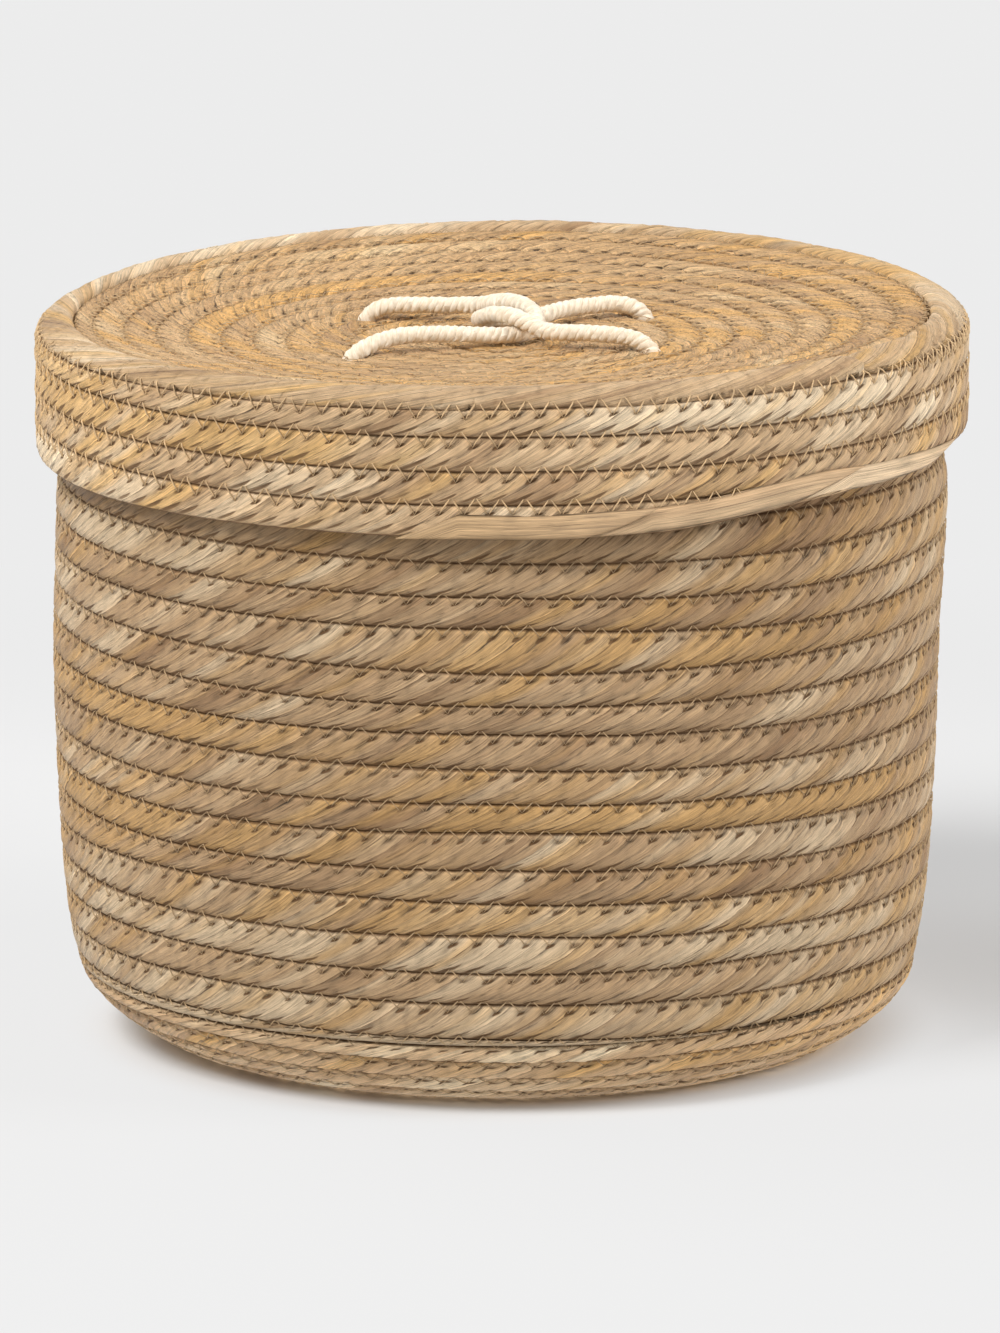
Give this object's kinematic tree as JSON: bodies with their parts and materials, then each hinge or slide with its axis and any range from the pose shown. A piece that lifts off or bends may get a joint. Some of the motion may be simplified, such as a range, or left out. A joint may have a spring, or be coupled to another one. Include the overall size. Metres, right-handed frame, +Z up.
{
  "type": "coiled rope basket with lid",
  "caption": "Round storage basket coiled from flattened leaf rope, with an overlapping lift-off lid and a two-loop cotton rope handle.",
  "frame": {"origin": "centre of the footprint, on the surface that the basket stands on", "axes": "+Z up along the basket's axis, -Y towards the front, +X to the viewer's right"},
  "size_m": [0.2748, 0.2748, 0.2223],
  "materials": {
    "base_leaf_rope": "dried leaf rope, dull sheen, tan",
    "wall_leaf_rope": "dried leaf rope, dull sheen, honey and grey-brown strips",
    "lid_leaf_rope": "dried leaf rope, dull sheen, honey",
    "skirt_leaf_rope": "dried leaf rope, dull sheen, pale tan",
    "cotton_rope": "twisted cotton, matte, cream"
  },
  "bodies": {
    "basket": {"base_coil": "base_leaf_rope", "wall_coil": "wall_leaf_rope"},
    "lid": {"lid_disc_coil": "lid_leaf_rope", "lid_skirt_coil": "skirt_leaf_rope", "handle_loop_left": "cotton_rope", "handle_loop_right": "cotton_rope", "knot_left_back": "cotton_rope", "knot_left_front": "cotton_rope", "knot_right_front": "cotton_rope", "knot_right_back": "cotton_rope"}
  },
  "joints": [
    {"name": "lid_lift", "type": "slide", "parent": "basket", "child": "lid", "axis": [0, 0, 1], "range_m": [0, 0.12]}
  ]
}
